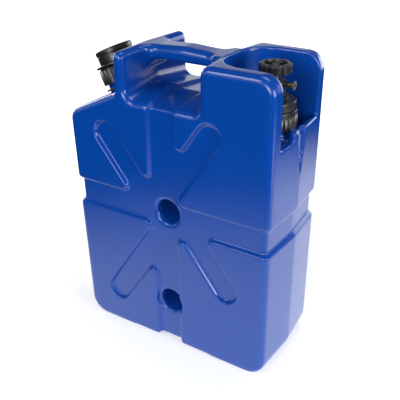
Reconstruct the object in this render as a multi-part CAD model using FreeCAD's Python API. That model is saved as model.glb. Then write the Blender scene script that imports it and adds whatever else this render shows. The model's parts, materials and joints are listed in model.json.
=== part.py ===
import FreeCAD, Part
import math
import os

os.makedirs("parts", exist_ok=True)
Vec = FreeCAD.Vector
UP = Vec(0, 0, 1)
ACROSS = Vec(1, 0, 0)
INWARD = Vec(0, 1, 0)

# Millimetres. X runs across the front, -Y faces the viewer, Z is up.
# The origin is the middle of the base.

# Tank outline
tank_depth = 157.0
face_width = 333.0
side_bulge = 5.0
rim_height = 464.0
shoulder_edge_height = 366.0
shoulder_slope = 25.0  # degrees
base_corner = 30.0
shoulder_corner = 20.0
tower_corner = 24.0
tower_inner_corner = 13.0
edge_radius = 8.0
edge_steps = 3
tank_wall = 3.0

# Saddle opening under the handle bar
opening_left = -60.0
opening_right = 60.0
opening_bow = 9.0
opening_depth = 64.0
floor_crown = 8.0
grip_wall = 17.0
grip_wall_draft = 2.5  # degrees
grip_wall_bow = 4.0
grip_wall_round = 8.4
grip_wall_foot_round = 6.0
floor_left_round = 14.0
floor_right_round = 10.0

# Handle bar
bar_width = 40.0
bar_height = 20.0
bar_crown = 2.0
bar_edge_round = 9.0
bar_root_round = 14.0
bar_root_steps = 3

# Recessed pattern on both faces and the belt round the waist
relief_depth = 6.0
relief_slope = 4.0
belt_bottom = 216.5
belt_top = 259.6
belt_corner = 11.0
arm_half_width = 20.5
arm_end_flat = 0.1
upper_left_arm = (-101.5, 342.5, -22.6)
upper_right_arm = (73.8, 372.0, -20.5)
lower_left_arm = (-100.5, 69.0, 14.7)
lower_right_arm = (100.0, 138.0, 25.8)
channel_left = -23.0
channel_right = 20.5
channel_lean = 5.5
channel_bend_height = 284.0
floor_groove_depth = 5.0

# Holes through the tank
hole_radius = 19.0
hole_mouth_round = 5.0
hole_mouth_steps = 2
upper_hole_height = 239.0
lower_hole_height = 79.0

# Underside
foot_inset = 72.0
foot_height = 5.0
under_channel_depth = 9.0

# Recess for the tap in the right tower
recess_wall = 22.5
recess_left = 66.0
recess_corner = 42.0
recess_depth = 99.0
sill_rise = 14.0
sill_left = 161.0
scoop_rise = 2.0
scoop_back = -22.0
side_flute_length = 68.0
side_flute_radius = 12.5
side_flute_tip = 0.3

# Pump, along its own axis, measured up from the sloped shoulder
pump_foot_x = -114.2
neck_radius = 28.0
pump_bore = 25.0
neck_wall_thread_gap = 0.5
pump_neck_length = 26.0
neck_ring_radius = 33.0
neck_ring_start = 3.0
neck_ring_thickness = 3.0
gasket_thickness = 2.0
flange_thickness = 3.0
collar_nut_radius = 33.5
collar_nut_skirt = 24.7
collar_rib_count = 16
collar_rib_radius = 3.2
collar_nut_bevel = 1.5
nut_lip = 5.5
nut_gap = 0.3
cap_collar_radius = 26.5
cap_plate_radius = 35.0
cap_plate_thickness = 3.0
cap_plate_gap = 0.5
cap_lug_radius = 5.0
cap_lug_reach = 3.5
barrel_radius = 20.0
barrel_bore = 17.5
barrel_length = 156.0
rod_radius = 5.0
rod_tip_radius = 4.0
running_gap = 0.05
knob_gap = 0.5
knob_height = 20.5
knob_radius = 28.2
knob_foot_radius = 27.4
knob_disc_height = 8.0
knob_hub_radius = 10.0
knob_shell = 3.0
knob_rim_bevel = 2.0
wiper_radius = 9.0
wiper_height = 2.6
wiper_lip = 1.0
screw_head_radius = 6.8
screw_head_height = 2.6
screw_radius = 2.5
screw_length = 11.0
counterbore_gap = 0.2
counterbore_depth = 3.0
piston_flange = 3.0
piston_hub_radius = 7.0
piston_hub_length = 9.0
piston_nut_height = 4.0
piston_nut_width = 13.0
piston_gap = 0.4
seal_plate = 3.0
seal_lip_length = 4.0
seal_lip_width = 1.8
screw_end_gap = 1.0

# Cross slot of both screws, as shares of the head
cross_slot_reach = 0.6
cross_slot_width = 0.14
cross_slot_depth = 0.45

# Foot valve of the pump
foot_clearance = 1.5
foot_plug = 3.0
foot_flange = 4.0
valve_skirt_radius = 16.5
valve_skirt_wall = 2.5
valve_skirt_length = 8.0
valve_disc_radius = 12.5
valve_disc_thickness = 2.0
valve_lift = 1.5
seat_gap = 0.2
cage_thickness = 2.0
cage_window = 6.0
cage_bar = 3.0
valve_port_radius = 6.0

# Tap and filter unit on the vertical neck
tap_x = 127.5
filter_bore = 24.5
filter_neck_length = 27.0
bead_radius = 32.0
bead_start = 3.0
bead_height = 6.0
lock_ring_radius = 32.0
lock_ring_gap = 3.0
lock_lip = 3.7
lock_ring_bevel = 1.5
lock_rib_count = 24
lock_rib_width = 2.6
lock_rib_depth = 1.0
lock_band_height = 7.0
head_collar_radius = 24.4
housing_gap = 0.5
housing_radius = 29.4
housing_bevel = 1.2
housing_height = 12.0
body_radius = 15.0
body_height = 25.0
body_foot_radius = 19.5
body_foot_height = 3.0
body_foot_slope = 3.0
body_floor = 5.5
body_cavity = 11.0
water_way = 4.5
seat_width = 2.0
seat_height = 1.8
washer_radius = 6.8
washer_thickness = 2.8
jumper_thickness = 3.2
jumper_stem_radius = 2.0
jumper_stem_length = 6.0
spindle_radius = 4.0
spindle_collar_radius = 6.0
spindle_collar_height = 2.3
bonnet_plug = 3.0
bonnet_flange_radius = 12.5
bonnet_flange = 1.5
gland_radius = 6.4
gland_height = 7.0
packing_radius = 5.4
packing_thickness = 2.0
wheel_gap = 1.5
wheel_height = 12.0
wheel_radius = 21.5
wheel_lobes = 8
wheel_scallop = 5.0
wheel_scallop_out = 2.75
wheel_hub_radius = 7.0
wheel_rim = 6.0
wheel_spokes = 4
wheel_spoke_width = 5.0
nozzle_height = 20.5
nozzle_radius = 3.4
nozzle_bore = 2.3
nozzle_reach = 28.5
nozzle_ring_radius = 6.0
nozzle_ring_width = 2.0
nozzle_boss_wall = 0.9
nozzle_boss_reach = 1.5
wheel_seat = 8.0
wheel_bevel = 1.5
wheel_web_start = 3.5
wheel_dish = 1.0
wheel_screw_radius = 1.5
wheel_screw_length = 5.5
wheel_screw_head = 4.5
wheel_screw_head_height = 2.0
body_bevel = 1.5
housing_socket = 4.0

# Filter cartridge, measured down from its flange
cartridge_head_drop = 14.0
cartridge_spigot = 8.0
head_radius = 24.2
ring_section = 2.2
ring_levels = (4.0, 9.0)
cage_radius = 20.5
cage_wall = 2.0
cage_length = 228.0
cage_slot_rows = 3
cage_slot_columns = 4
cage_slot_width = 16.0
cage_slot_bridge = 10.0
sleeve_thickness = 3.5
sleeve_end_gap = 2.0
core_radius = 5.5
core_bore = 4.2
cartridge_foot_flange = 4.0
cartridge_foot_plug = 6.0
bundle_gap = 0.2

# Worked out from the sizes above
front = -tank_depth / 2
opening_floor = rim_height - opening_depth
recess_floor = rim_height - recess_depth
sill_height = recess_floor + sill_rise
scoop_height = recess_floor + scoop_rise
filter_neck_top = recess_floor + filter_neck_length
half_face = face_width / 2
far = 400.0
slope_rise = math.tan(math.radians(shoulder_slope))
pump_foot_z = shoulder_edge_height + (pump_foot_x + half_face) * slope_rise


def shoulder_height(x):
    """Height of the sloped left shoulder at x."""
    return shoulder_edge_height + (x + half_face) * slope_rise


def rounded_wire(corners, place):
    """Closed wire through corners (a, b, radius); place maps a, b to a point."""
    count = len(corners)
    arcs = []
    for i in range(count):
        a, b, radius = corners[i]
        here = Vec(a, b, 0)
        back = Vec(corners[i - 1][0], corners[i - 1][1], 0) - here
        ahead = Vec(corners[(i + 1) % count][0], corners[(i + 1) % count][1], 0) - here
        back.normalize()
        ahead.normalize()
        half = back.getAngle(ahead) / 2
        reach = radius / math.tan(half)
        middle = back + ahead
        middle.normalize()
        depth = radius / math.sin(half) - radius
        arcs.append((here + back * reach, here + middle * depth, here + ahead * reach, radius))
    edges = []
    for i in range(count):
        start, bend, end, radius = arcs[i]
        if radius > 0:
            points = [place(p.x, p.y) for p in (start, bend, end)]
            edges.append(Part.Arc(*points).toShape())
        following = arcs[(i + 1) % count][0]
        if (following - end).Length > 1e-6:
            edges.append(Part.makeLine(place(end.x, end.y), place(following.x, following.y)))
    return Part.Wire(edges)


def on_face(y):
    """Maps across, up to a point on the plane facing Y at y."""
    return lambda a, b: Vec(a, y, b)


def on_level(z):
    """Maps X, Y to a point at height z."""
    return lambda a, b: Vec(a, b, z)


def skin(sections):
    """Solid through matching sections, each a place and its (a, b, radius) corners.

    Lines join to flat faces, arcs about one axis to cones, and equal arcs to cylinders.
    """
    wires = [rounded_wire(corners, place) for place, corners in sections]
    faces = [Part.Face(wires[0]), Part.Face(wires[-1])]
    for first, second in zip(wires[:-1], wires[1:]):
        for edge, other in zip(first.Edges, second.Edges):
            start, end = [vertex.Point for vertex in edge.Vertexes]
            other_start, other_end = [vertex.Point for vertex in other.Vertexes]
            if isinstance(edge.Curve, Part.Line):
                faces.append(Part.Face(Part.makePolygon([start, end, other_end, other_start, start])))
                continue
            circle = edge.Curve
            between = other.Curve.Center - circle.Center
            turn = math.degrees(edge.LastParameter - edge.FirstParameter)
            if between.cross(circle.Axis).Length < 1e-6:
                faces.append(Part.makeLine(start, other_start).revolve(circle.Center, circle.Axis, turn))
            elif abs(other.Curve.Radius - circle.Radius) < 1e-6:
                faces.append(edge.extrude(other_start - start))
            else:
                faces.append(Part.makeRuledSurface(edge, other))
    shell = Part.Shell(faces)
    shell.sewShape()
    return Part.Solid(shell)


def drawn_in(corners, inset):
    """Corners of an anticlockwise outline drawn in by inset; sharp corners stay sharp."""
    moved = []
    count = len(corners)
    for i in range(count):
        here = Vec(corners[i][0], corners[i][1], 0)
        before = here - Vec(corners[i - 1][0], corners[i - 1][1], 0)
        after = Vec(corners[(i + 1) % count][0], corners[(i + 1) % count][1], 0) - here
        before.normalize()
        after.normalize()
        inward = Vec(-before.y - after.y, before.x + after.x, 0)
        step = inward * (inset / (1 + before.dot(after)))
        outside_corner = before.cross(after).z > 0
        radius = corners[i][2]
        if radius > 0:
            radius += -inset if outside_corner else inset
        moved.append((here.x + step.x, here.y + step.y, radius))
    return moved


def prism(wire, along):
    """Solid swept straight from a closed wire."""
    return Part.Face(wire).extrude(along)


def box(x0, x1, y0, y1, z0, z1):
    """Box between two corners."""
    return Part.makeBox(x1 - x0, y1 - y0, z1 - z0, Vec(x0, y0, z0))


def turned(profile):
    """Solid of revolution about Z from a closed list of (radius, height)."""
    points = [Vec(r, 0, z) for r, z in profile]
    return Part.Face(Part.makePolygon(points + points[:1])).revolve(Vec(0, 0, 0), UP, 360)


def tube(outer, inner, bottom, top):
    """Round tube about Z."""
    return turned([(inner, bottom), (outer, bottom), (outer, top), (inner, top)])


def disc(radius, bottom, top, x=0.0, y=0.0):
    """Round bar along Z."""
    return Part.makeCylinder(radius, top - bottom, Vec(x, y, bottom))


def around(shape, count):
    """Copies of a shape spread evenly about Z."""
    copies = []
    for i in range(count):
        copy = shape.copy()
        copy.rotate(Vec(0, 0, 0), UP, 360.0 * i / count)
        copies.append(copy)
    return copies


def hexagon(across_flats, bottom, top):
    """Hexagonal bar about Z."""
    radius = across_flats / math.sqrt(3)
    points = []
    for i in range(7):
        turn = math.radians(60 * i)
        points.append(Vec(radius * math.cos(turn), radius * math.sin(turn), bottom))
    return prism(Part.makePolygon(points), Vec(0, 0, top - bottom))


def both_faces(shape):
    """The shape on the front and its mirror image on the back."""
    return [shape, shape.mirror(Vec(0, 0, 0), INWARD)]


def tank_corners(bulge):
    """Corners of the tank's outline: bulge is 0 at the faces and 1 at the parting line."""
    half = half_face + side_bulge * bulge
    left = opening_left - grip_wall - grip_wall_bow * bulge
    draft = math.tan(math.radians(grip_wall_draft))
    drop = rim_height - shoulder_height(0)
    foot = (left - draft * drop) / (1 - draft * slope_rise)
    floor = opening_floor + floor_crown * bulge
    right = opening_right - opening_bow * bulge
    return [
        (-half, 0, base_corner),
        (half, 0, base_corner),
        (half, rim_height, tower_corner),
        (right, rim_height, tower_inner_corner),
        (right, floor, floor_right_round),
        (opening_left, floor, floor_left_round),
        (opening_left, rim_height, grip_wall_round),
        (left, rim_height, grip_wall_round),
        (foot, shoulder_height(foot), grip_wall_foot_round),
        (-half, shoulder_height(-half), shoulder_corner),
    ]


def tank_block(inset, steps):
    """Form of the tank drawn in by inset, its edges rounded in steps and its sides bulged."""
    round_off = edge_radius - inset
    near = []
    for i in range(steps + 1):
        turn = math.radians(90.0 * i / steps)
        y = front + inset + round_off * (1 - math.cos(turn))
        corners = drawn_in(tank_corners(0), inset + round_off * (1 - math.sin(turn)))
        near.append((y, corners))
    middle = (0, drawn_in(tank_corners(1), inset))
    back = [(-y, corners) for y, corners in reversed(near)]
    return skin([(on_face(y), corners) for y, corners in near + [middle] + back])


def relief_cut(corners_at, grow):
    """Cutter for a recess in the front face; corners_at(widen) gives the outline at the face."""
    slope = relief_slope / relief_depth
    outside = edge_radius
    return skin([
        (on_face(front - outside), corners_at(grow + outside * slope)),
        (on_face(front + relief_depth + grow), corners_at(grow - relief_slope)),
    ])


def arm_corners(arm):
    """Outline of a round-ended arm from its end centre to the waist, as a function of widening."""
    end_x, end_z, waist_x = arm
    waist_z = (belt_bottom + belt_top) / 2
    along = Vec(end_x - waist_x, end_z - waist_z, 0)
    along.normalize()
    side = Vec(-along.y, along.x, 0)

    def corners(widen):
        reach = arm_half_width + widen
        points = []
        for centre_x, centre_z, step in ((end_x, end_z, 1), (waist_x, waist_z, -1)):
            for turn in (1, -1):
                offset = along * (reach * step) + side * (reach * turn * step)
                points.append((centre_x + offset.x, centre_z + offset.y, reach - arm_end_flat / 2))
        return points

    return corners


def upper_channel(widen):
    """Outline of the channel from the belt up to the opening."""
    middle = (belt_bottom + belt_top) / 2
    left = channel_left - widen
    right = channel_right + widen
    top = opening_floor + far / 8
    return [
        (right, middle, 0.0),
        (right, top, 0.0),
        (left, top, 0.0),
        (left - channel_lean, channel_bend_height, 0.0),
        (left - channel_lean, middle, 0.0),
    ]


def lower_channel(widen):
    """Outline of the channel from the belt down over the bottom edge."""
    middle = (belt_bottom + belt_top) / 2
    left = channel_left - widen
    right = channel_right + widen
    return [(right, -far / 8, 0.0), (right, middle, 0.0), (left, middle, 0.0), (left, -far / 8, 0.0)]


def belt_cut(grow):
    """Ring cutter for the belt that runs all round the tank."""
    side = half_face + side_bulge
    around_tank = [
        (-half_face, front, belt_corner),
        (half_face, front, belt_corner),
        (side, 0, 0.0),
        (half_face, -front, belt_corner),
        (-half_face, -front, belt_corner),
        (-side, 0, 0.0),
    ]

    def plan(z, inset):
        return on_level(z), drawn_in(around_tank, inset)

    over = relief_slope
    out = -over * relief_depth / relief_slope
    deep = relief_depth + grow
    low = belt_bottom - grow
    high = belt_top + grow
    core = skin([
        plan(low - over, out),
        plan(low + relief_slope, deep),
        plan(high - relief_slope, deep),
        plan(high + over, out),
    ])
    return box(-far, far, -far, far, low - over, high + over).cut(core)


def hole_cut(height, grow):
    """Cutter for a round hole through the tank; its mouths flare on the outside only."""
    if grow > 0:
        return Part.makeCylinder(hole_radius + grow, tank_depth, Vec(0, front, height), INWARD)
    mouth = front + relief_depth
    profile = [(0, front - edge_radius), (hole_radius + hole_mouth_round, front - edge_radius)]
    for i in range(hole_mouth_steps + 1):
        turn = math.radians(90.0 * i / hole_mouth_steps)
        out = hole_mouth_round * (1 - math.sin(turn))
        down = hole_mouth_round * (1 - math.cos(turn))
        profile.append((hole_radius + out, mouth + down))
    profile += [(r, -y) for r, y in reversed(profile)]
    points = [Vec(r, y, height) for r, y in profile]
    return Part.Face(Part.makePolygon(points + points[:1])).revolve(Vec(0, 0, height), INWARD, 360)


def under_cut(grow):
    """Cutter that raises the middle of the underside between the feet."""
    def arch(half_left, half_right, height):
        return [
            (half_left - relief_slope, -1, 0.0),
            (half_right + relief_slope, -1, 0.0),
            (half_right, height, 0.0),
            (half_left, height, 0.0),
        ]

    wide = arch(-foot_inset - grow, foot_inset + grow, foot_height + grow)
    narrow = arch(channel_left - grow, channel_right + grow, under_channel_depth + grow)
    along = Vec(0, 2 * far, 0)
    return [prism(rounded_wire(shape, on_face(-far)), along) for shape in (wide, narrow)]


def floor_groove(grow):
    """Cutter for the shallow groove over the floor of the saddle opening."""
    def section(y, bulge):
        bottom = opening_floor + floor_crown * bulge - floor_groove_depth - grow
        top = bottom + 3 * floor_groove_depth
        left = channel_left - grow
        right = channel_right + grow
        corners = [
            (left + relief_slope / 2, bottom, 0.0),
            (right - relief_slope / 2, bottom, 0.0),
            (right + relief_slope, top, 0.0),
            (left - relief_slope, top, 0.0),
        ]
        return on_face(y), corners

    return skin([section(front - 1, 0), section(0, 1), section(-front + 1, 0)])


def recess_cut(grow):
    """Cutters for the tap recess: the well, its open side over the sill, and the scoop in the sill."""
    near = front + recess_wall - grow
    left = recess_left - grow
    corner = recess_corner + grow

    def plan(right, z):
        corners = [
            (left, near, corner),
            (right, near, 0.0),
            (right, -near, 0.0),
            (left, -near, corner),
        ]
        return rounded_wire(corners, on_level(z))

    well = prism(plan(sill_left + grow, recess_floor - grow), Vec(0, 0, far))
    mouth = prism(plan(far, sill_height - grow), Vec(0, 0, far))
    scoop = box(sill_left - 1, far, near, scoop_back + grow, scoop_height - grow, far)
    return [well, mouth, scoop]


def side_flute(grow):
    """Cutter for the tapering flute down the right side under the sill."""
    radius = side_flute_radius + grow
    place = Vec(half_face + side_bulge, 0, sill_height - side_flute_length)
    return Part.makeCone(grow + side_flute_tip, radius, side_flute_length, place)


def joined_web():
    """Cutter for the inside where the tank's skins meet between the opening and the tap recess."""
    half = -front - recess_wall
    right = recess_left + tank_wall
    return box(0, right, -half, half, opening_floor, far + rim_height)


def handle_bar():
    """Bar across the opening, flared in steps at both roots."""
    inner_right = opening_right - opening_bow
    middle = (opening_left + inner_right) / 2
    top_inside = rim_height - 0.2

    def section(x, flare, top):
        half = bar_width / 2 + flare
        bottom = rim_height - bar_height - flare
        corners = [
            (-half, bottom, bar_edge_round),
            (half, bottom, bar_edge_round),
            (half, top, bar_edge_round),
            (-half, top, bar_edge_round),
        ]
        return lambda a, b: Vec(x, a, b), corners

    def root(wall, out, buried):
        sections = [section(wall - out * buried, bar_root_round, top_inside)]
        for i in range(bar_root_steps + 1):
            turn = math.radians(90.0 * i / bar_root_steps)
            gap = bar_root_round * (1 - math.cos(turn))
            sections.append(section(wall + out * gap, bar_root_round * (1 - math.sin(turn)), top_inside))
        return sections

    left = root(opening_left, 1, grip_wall / 2)
    right = root(inner_right, -1, tower_inner_corner)
    crown = section(middle, 0.0, rim_height + bar_crown)
    return skin(left + [crown] + right[::-1])


def tank_cuts(grow):
    """All cutters of the tank's outside, widened by grow for the space inside the wall."""
    cuts = [belt_cut(grow)]
    for arm in (upper_left_arm, upper_right_arm, lower_left_arm, lower_right_arm):
        cuts += both_faces(relief_cut(arm_corners(arm), grow))
    for channel in (upper_channel, lower_channel):
        cuts += both_faces(relief_cut(channel, grow))
    cuts += under_cut(grow)
    cuts += recess_cut(grow)
    cuts.append(side_flute(grow))
    for height in (upper_hole_height, lower_hole_height):
        cuts.append(hole_cut(height, grow))
    cuts.append(floor_groove(grow))
    return cuts


def less(solid, cuts):
    """The solid with every cutter taken away."""
    for cut in cuts:
        solid = solid.cut(cut)
    return solid


def on_pump_axis(shape):
    """Moves a shape from the upright Z axis onto the leaning pump axis."""
    placed = shape.copy()
    placed.rotate(Vec(0, 0, 0), INWARD, -shoulder_slope)
    placed.translate(Vec(pump_foot_x, 0, pump_foot_z))
    return placed


def on_tap_axis(shape):
    """Moves a shape from the Z axis onto the tap's upright axis."""
    placed = shape.copy()
    placed.translate(Vec(tap_x, 0, 0))
    return placed


def tank_shell():
    """Blow-moulded tank with its handle, necks, holes and recesses."""
    outside = less(tank_block(0.0, edge_steps), tank_cuts(0.0))
    outside = outside.fuse(handle_bar()).removeSplitter()
    inside = less(tank_block(tank_wall, 1), tank_cuts(tank_wall) + [joined_web()])
    shell = outside.cut(inside)
    pump_neck = on_pump_axis(disc(neck_radius, -tank_wall, pump_neck_length))
    pump_hole = on_pump_axis(disc(pump_bore, -4 * tank_wall, pump_neck_length + 1))
    filter_neck = on_tap_axis(disc(neck_radius, recess_floor - tank_wall, filter_neck_top))
    bead_bottom = recess_floor + bead_start
    bead = on_tap_axis(disc(bead_radius, bead_bottom, bead_bottom + bead_height))
    filter_hole = on_tap_axis(disc(filter_bore, recess_floor - 4 * tank_wall, filter_neck_top + 1))
    shell = shell.fuse([pump_neck, filter_neck, bead])
    return less(shell, [pump_hole, filter_hole])


# Levels along the pump axis
collar_flange_bottom = pump_neck_length + gasket_thickness
collar_flange_top = collar_flange_bottom + flange_thickness
nut_lip_bottom = collar_flange_top + seat_gap
nut_top = nut_lip_bottom + nut_lip
nut_bottom = nut_top - collar_nut_skirt
plate_bottom = nut_top + cap_plate_gap
plate_top = plate_bottom + cap_plate_thickness
knob_bottom = plate_top + knob_gap
knob_top = knob_bottom + knob_height
barrel_foot = collar_flange_bottom - barrel_length
foot_plug_top = barrel_foot + foot_plug
rod_tip = foot_plug_top + foot_clearance
piston_nut_bottom = rod_tip + foot_clearance
piston_hub_bottom = piston_nut_bottom + piston_nut_height
piston_flange_bottom = piston_hub_bottom + piston_hub_length
piston_top = piston_flange_bottom + piston_flange
barrel_base = barrel_foot - foot_flange
cage_top = barrel_base - 2 * seat_gap - valve_lift - valve_disc_thickness


def pump_neck_gasket():
    """Flat gasket on the rim of the pump neck."""
    return on_pump_axis(tube(neck_radius, pump_bore, pump_neck_length, collar_flange_bottom))


def pump_neck_ring():
    """Ring round the foot of the pump neck."""
    top = neck_ring_start + neck_ring_thickness
    return on_pump_axis(tube(neck_ring_radius, neck_radius, neck_ring_start, top))


def pump_barrel():
    """Barrel with the flange that the collar nut clamps."""
    return on_pump_axis(turned([
        (barrel_bore, barrel_foot),
        (barrel_radius, barrel_foot),
        (barrel_radius, collar_flange_bottom),
        (neck_radius, collar_flange_bottom),
        (neck_radius, collar_flange_top),
        (barrel_bore, collar_flange_top),
    ]))


def pump_head():
    """Guide cap on top of the barrel, with its thin plate and lug."""
    body = turned([
        (rod_radius + running_gap, collar_flange_top - flange_thickness),
        (barrel_bore, collar_flange_top - flange_thickness),
        (barrel_bore, collar_flange_top),
        (cap_collar_radius, collar_flange_top),
        (cap_collar_radius, plate_bottom),
        (cap_plate_radius, plate_bottom),
        (cap_plate_radius, plate_top),
        (wiper_radius, plate_top),
        (wiper_radius, plate_top - wiper_height),
        (rod_radius + running_gap, plate_top - wiper_height),
    ])
    lug = disc(cap_lug_radius, plate_bottom, plate_top, cap_lug_radius - cap_plate_radius - cap_lug_reach)
    return on_pump_axis(body.fuse(lug).removeSplitter())


def rod_wiper():
    """Seal that wipes the rod where it enters the guide cap."""
    inner = rod_radius + running_gap
    bottom = plate_top - wiper_height
    return on_pump_axis(turned([
        (inner, bottom),
        (wiper_radius, bottom),
        (wiper_radius, plate_top - wiper_lip),
        (inner, plate_top),
    ]))


def pump_collar_nut():
    """Ribbed union nut that holds the barrel flange down on the neck."""
    bore = neck_radius + neck_wall_thread_gap
    hole = cap_collar_radius + nut_gap
    root = collar_nut_radius - collar_rib_radius / 2
    body = turned([
        (bore, nut_bottom),
        (root, nut_bottom),
        (root, nut_top - collar_nut_bevel),
        (root - collar_nut_bevel, nut_top),
        (hole, nut_top),
        (hole, nut_lip_bottom),
        (bore, nut_lip_bottom),
    ])
    rib_place = collar_nut_radius - collar_rib_radius
    rib = disc(collar_rib_radius, nut_bottom, nut_top - collar_nut_bevel, rib_place)
    rib = rib.cut(disc(bore, nut_bottom, nut_lip_bottom))
    return on_pump_axis(body.fuse(around(rib, collar_rib_count)).removeSplitter())


def pump_handle():
    """Round knob on the plunger, hollow underneath."""
    disc_bottom = knob_top - knob_disc_height
    ceiling = knob_top - counterbore_depth - knob_shell
    counterbore = screw_head_radius + counterbore_gap
    return on_pump_axis(turned([
        (rod_radius, knob_bottom),
        (knob_hub_radius, knob_bottom),
        (knob_hub_radius, ceiling),
        (knob_foot_radius - knob_shell, ceiling),
        (knob_foot_radius - knob_shell, knob_bottom),
        (knob_foot_radius, knob_bottom),
        (knob_radius, disc_bottom),
        (knob_radius, knob_top - knob_rim_bevel),
        (knob_radius - knob_rim_bevel, knob_top),
        (counterbore, knob_top),
        (counterbore, knob_top - counterbore_depth),
        (rod_radius, knob_top - counterbore_depth),
    ]))


def pump_rod():
    """Plunger rod, stepped down for the piston, tapped for the handle screw."""
    top = knob_top - counterbore_depth
    bore_end = top - screw_length - screw_end_gap
    return on_pump_axis(turned([
        (0, rod_tip),
        (rod_tip_radius, rod_tip),
        (rod_tip_radius, piston_top),
        (rod_radius, piston_top),
        (rod_radius, top),
        (screw_radius, top),
        (screw_radius, bore_end),
        (0, bore_end),
    ]))


def slotted_screw(head_radius, head_height, radius, length, seat):
    """Cheese-head screw with a cross slot, its head resting at the height seat."""
    top = seat + head_height
    body = disc(head_radius, seat, top).fuse(disc(radius, seat - length, seat))
    half = head_radius * cross_slot_reach
    width = head_radius * cross_slot_width
    floor = top - head_height * cross_slot_depth
    slots = [
        box(-half, half, -width, width, floor, top),
        box(-width, width, -half, half, floor, top),
    ]
    return less(body, slots)


def handle_screw():
    """Screw that holds the knob on the rod."""
    seat = knob_top - counterbore_depth
    return on_pump_axis(slotted_screw(screw_head_radius, screw_head_height, screw_radius, screw_length, seat))


def piston():
    """Piston flange and hub on the stepped end of the rod."""
    return on_pump_axis(turned([
        (rod_tip_radius, piston_hub_bottom),
        (piston_hub_radius, piston_hub_bottom),
        (piston_hub_radius, piston_flange_bottom),
        (barrel_bore - piston_gap, piston_flange_bottom),
        (barrel_bore - piston_gap, piston_top),
        (rod_tip_radius, piston_top),
    ]))


def piston_cup_seal():
    """Cup seal under the piston flange, its lip open downwards."""
    lip = barrel_bore - running_gap
    plate = piston_flange_bottom - seal_plate
    return on_pump_axis(turned([
        (piston_hub_radius, plate),
        (lip - 2 * seal_lip_width, plate),
        (lip - seal_lip_width, plate - seal_lip_length),
        (lip, plate - seal_lip_length),
        (lip, piston_flange_bottom),
        (piston_hub_radius, piston_flange_bottom),
    ]))


def piston_nut():
    """Nut that holds the piston on the rod."""
    nut = hexagon(piston_nut_width, piston_nut_bottom, piston_hub_bottom)
    return on_pump_axis(nut.cut(disc(rod_tip_radius, piston_nut_bottom, piston_hub_bottom)))


def foot_cap():
    """Cap in the foot of the barrel, with the port, the valve seat and a skirt."""
    skirt_bottom = barrel_base - valve_skirt_length
    return on_pump_axis(turned([
        (valve_port_radius, barrel_base),
        (valve_skirt_radius - valve_skirt_wall, barrel_base),
        (valve_skirt_radius - valve_skirt_wall, skirt_bottom),
        (valve_skirt_radius, skirt_bottom),
        (valve_skirt_radius, barrel_base),
        (barrel_radius, barrel_base),
        (barrel_radius, barrel_foot),
        (barrel_bore, barrel_foot),
        (barrel_bore, foot_plug_top),
        (valve_port_radius, foot_plug_top),
    ]))


def foot_valve_disc():
    """Loose rubber disc that lies on its cage and closes the port from below when it lifts."""
    bottom = cage_top + seat_gap
    return on_pump_axis(disc(valve_disc_radius, bottom, bottom + valve_disc_thickness))


def foot_valve_cage():
    """Plate with four windows that keeps the valve disc in its skirt."""
    bottom = cage_top - cage_thickness
    plate = disc(valve_skirt_radius - valve_skirt_wall, bottom, cage_top)
    near = cage_bar / 2
    window = box(near, near + cage_window, near, near + cage_window, bottom, cage_top)
    return on_pump_axis(less(plate, around(window, 4)))


# Levels up the tap axis
head_flange_bottom = filter_neck_top + gasket_thickness
head_flange_top = head_flange_bottom + flange_thickness
lock_lip_bottom = head_flange_top + nut_gap
lock_ring_top = lock_lip_bottom + lock_lip
housing_bottom = lock_ring_top + housing_gap
housing_top = housing_bottom + housing_height
seat_top = housing_top + body_floor + seat_height
washer_bottom = seat_top + seat_gap
jumper_bottom = washer_bottom + washer_thickness
jumper_top = jumper_bottom + jumper_thickness
spindle_bottom = jumper_top + seat_gap
body_top = housing_top + body_height
bonnet_top = body_top + bonnet_flange + gland_height
wheel_bottom = bonnet_top + wheel_gap
wheel_top = wheel_bottom + wheel_height
nozzle_level = housing_top + nozzle_height
lock_ring_bottom = recess_floor + bead_start + bead_height + lock_ring_gap
head_bottom = head_flange_bottom - cartridge_head_drop
cage_bottom = head_bottom - cage_length
ring_bore = head_radius - ring_section


def housing_gasket():
    """Flat gasket on the rim of the filter neck."""
    return on_tap_axis(tube(neck_radius, filter_bore, filter_neck_top, head_flange_bottom))


def tap_lock_ring():
    """Union nut with a ribbed skirt that holds the cartridge flange down on the neck."""
    bore = neck_radius + neck_wall_thread_gap
    hole = head_collar_radius + nut_gap
    root = lock_ring_radius - lock_rib_depth
    body = turned([
        (bore, lock_ring_bottom),
        (root, lock_ring_bottom),
        (root, lock_ring_top - lock_ring_bevel),
        (root - lock_ring_bevel, lock_ring_top),
        (hole, lock_ring_top),
        (hole, lock_lip_bottom),
        (bore, lock_lip_bottom),
    ])
    half = lock_rib_width / 2
    inner = (bore + root) / 2
    rib = box(inner, lock_ring_radius, -half, half, lock_ring_bottom, lock_ring_top - lock_band_height)
    return on_tap_axis(body.fuse(around(rib, lock_rib_count)).removeSplitter())


def tap_housing():
    """Drum that carries the valve body, screwed on the collar of the cartridge head."""
    return on_tap_axis(turned([
        (head_collar_radius, housing_bottom),
        (housing_radius, housing_bottom),
        (housing_radius, housing_top - housing_bevel),
        (housing_radius - housing_bevel, housing_top),
        (water_way, housing_top),
        (water_way, housing_bottom + housing_socket),
        (head_collar_radius, housing_bottom + housing_socket),
    ]))


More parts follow.
